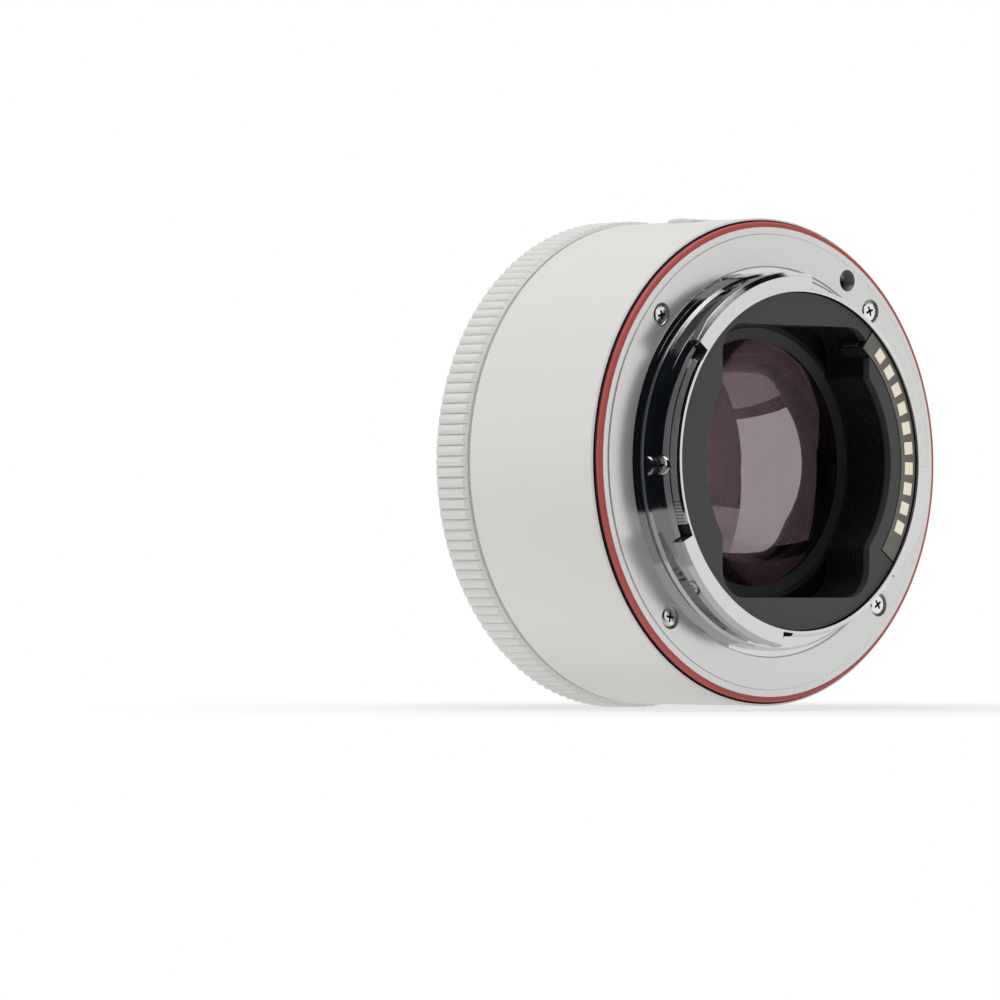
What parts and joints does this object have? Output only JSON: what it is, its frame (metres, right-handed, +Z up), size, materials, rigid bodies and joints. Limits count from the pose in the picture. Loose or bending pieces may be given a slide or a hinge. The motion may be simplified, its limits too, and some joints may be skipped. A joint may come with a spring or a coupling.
{
  "type": "camera teleconverter",
  "caption": "Short white camera teleconverter: male bayonet and contact row at the rear, female bayonet, protruding lens nose, ribbed grip ring and sliding release lever.",
  "frame": {"origin": "centre of the front mount face, on the optical axis", "axes": "+Y along the optical axis towards the lens, -Y towards the camera, +Z up as pictured, +X to the right seen from the camera side"},
  "size_m": [0.0634, 0.0454, 0.0634],
  "materials": {
    "body_paint": "matte off-white",
    "frame_alloy": "cast",
    "mount_metal": "satin faces, polished tube",
    "screw_steel": "polished",
    "spring_steel": "satin",
    "seal_rubber": "matte red",
    "mask_plastic": "matte dark grey",
    "trap_plastic": "matte black",
    "contact_plastic": "matte dark grey",
    "contact_gold": "gold plated",
    "cell_alloy": "black anodised",
    "bumper_rubber": "matte black",
    "lens_glass": "coated",
    "board_laminate": "satin green",
    "chip_plastic": "matte black",
    "flex_film": "amber film"
  },
  "bodies": {
    "housing": {"barrel": "body_paint", "grip_ring": "body_paint", "chassis": "frame_alloy", "rear_mount": "mount_metal", "front_mount": "mount_metal", "rear_mount_screws": "screw_steel", "mask_screws": "screw_steel", "front_mount_screws": "screw_steel", "leaf_spring_screws": "screw_steel", "rear_cell_screws": "screw_steel", "board_screws": "screw_steel", "mount_leaf_springs": "spring_steel", "contact_springs": "spring_steel", "lock_spring": "spring_steel", "rear_seal": "seal_rubber", "rear_mask": "mask_plastic", "light_trap": "trap_plastic", "front_shield": "trap_plastic", "rear_contact_block": "contact_plastic", "front_contact_block": "contact_plastic", "rear_contact_pads": "contact_gold", "front_cell": "cell_alloy", "front_cell_nut": "cell_alloy", "front_retaining_ring": "cell_alloy", "doublet_retaining_ring": "cell_alloy", "rear_cell": "cell_alloy", "lens_spacer_front": "cell_alloy", "lens_spacer_rear": "cell_alloy", "rear_retaining_ring": "cell_alloy", "front_bumper": "bumper_rubber", "front_lens": "lens_glass", "doublet_front_lens": "lens_glass", "doublet_rear_lens": "lens_glass", "triplet_front_lens": "lens_glass", "triplet_middle_lens": "lens_glass", "triplet_rear_lens": "lens_glass", "field_lens": "lens_glass", "rear_lens": "lens_glass", "circuit_board": "board_laminate", "controller_chip": "chip_plastic", "contact_flex": "flex_film"},
    "lens_lock": {"release_lever": "body_paint", "lock_slide": "spring_steel", "lock_pin": "screw_steel"},
    "contact_1": {"contact_pin_1": "contact_gold"},
    "contact_2": {"contact_pin_2": "contact_gold"},
    "contact_3": {"contact_pin_3": "contact_gold"},
    "contact_4": {"contact_pin_4": "contact_gold"},
    "contact_5": {"contact_pin_5": "contact_gold"},
    "contact_6": {"contact_pin_6": "contact_gold"},
    "contact_7": {"contact_pin_7": "contact_gold"},
    "contact_8": {"contact_pin_8": "contact_gold"},
    "contact_9": {"contact_pin_9": "contact_gold"},
    "contact_10": {"contact_pin_10": "contact_gold"}
  },
  "joints": [
    {"name": "lens_lock_slide", "type": "slide", "parent": "housing", "child": "lens_lock", "axis": [0, -1, 0], "range_m": [0, 0.0018], "stiffness_N_per_m": 800, "springref_m": -0.002, "deforming": ["lock_spring"]},
    {"name": "contact_1_slide", "type": "slide", "parent": "housing", "child": "contact_1", "axis": [0, -1, 0], "range_m": [0, 0.0008], "stiffness_N_per_m": 300, "springref_m": -0.0008, "deforming": ["contact_springs"]},
    {"name": "contact_2_slide", "type": "slide", "parent": "housing", "child": "contact_2", "axis": [0, -1, 0], "range_m": [0, 0.0008], "stiffness_N_per_m": 300, "springref_m": -0.0008},
    {"name": "contact_3_slide", "type": "slide", "parent": "housing", "child": "contact_3", "axis": [0, -1, 0], "range_m": [0, 0.0008], "stiffness_N_per_m": 300, "springref_m": -0.0008},
    {"name": "contact_4_slide", "type": "slide", "parent": "housing", "child": "contact_4", "axis": [0, -1, 0], "range_m": [0, 0.0008], "stiffness_N_per_m": 300, "springref_m": -0.0008},
    {"name": "contact_5_slide", "type": "slide", "parent": "housing", "child": "contact_5", "axis": [0, -1, 0], "range_m": [0, 0.0008], "stiffness_N_per_m": 300, "springref_m": -0.0008},
    {"name": "contact_6_slide", "type": "slide", "parent": "housing", "child": "contact_6", "axis": [0, -1, 0], "range_m": [0, 0.0008], "stiffness_N_per_m": 300, "springref_m": -0.0008},
    {"name": "contact_7_slide", "type": "slide", "parent": "housing", "child": "contact_7", "axis": [0, -1, 0], "range_m": [0, 0.0008], "stiffness_N_per_m": 300, "springref_m": -0.0008},
    {"name": "contact_8_slide", "type": "slide", "parent": "housing", "child": "contact_8", "axis": [0, -1, 0], "range_m": [0, 0.0008], "stiffness_N_per_m": 300, "springref_m": -0.0008},
    {"name": "contact_9_slide", "type": "slide", "parent": "housing", "child": "contact_9", "axis": [0, -1, 0], "range_m": [0, 0.0008], "stiffness_N_per_m": 300, "springref_m": -0.0008},
    {"name": "contact_10_slide", "type": "slide", "parent": "housing", "child": "contact_10", "axis": [0, -1, 0], "range_m": [0, 0.0008], "stiffness_N_per_m": 300, "springref_m": -0.0008}
  ]
}
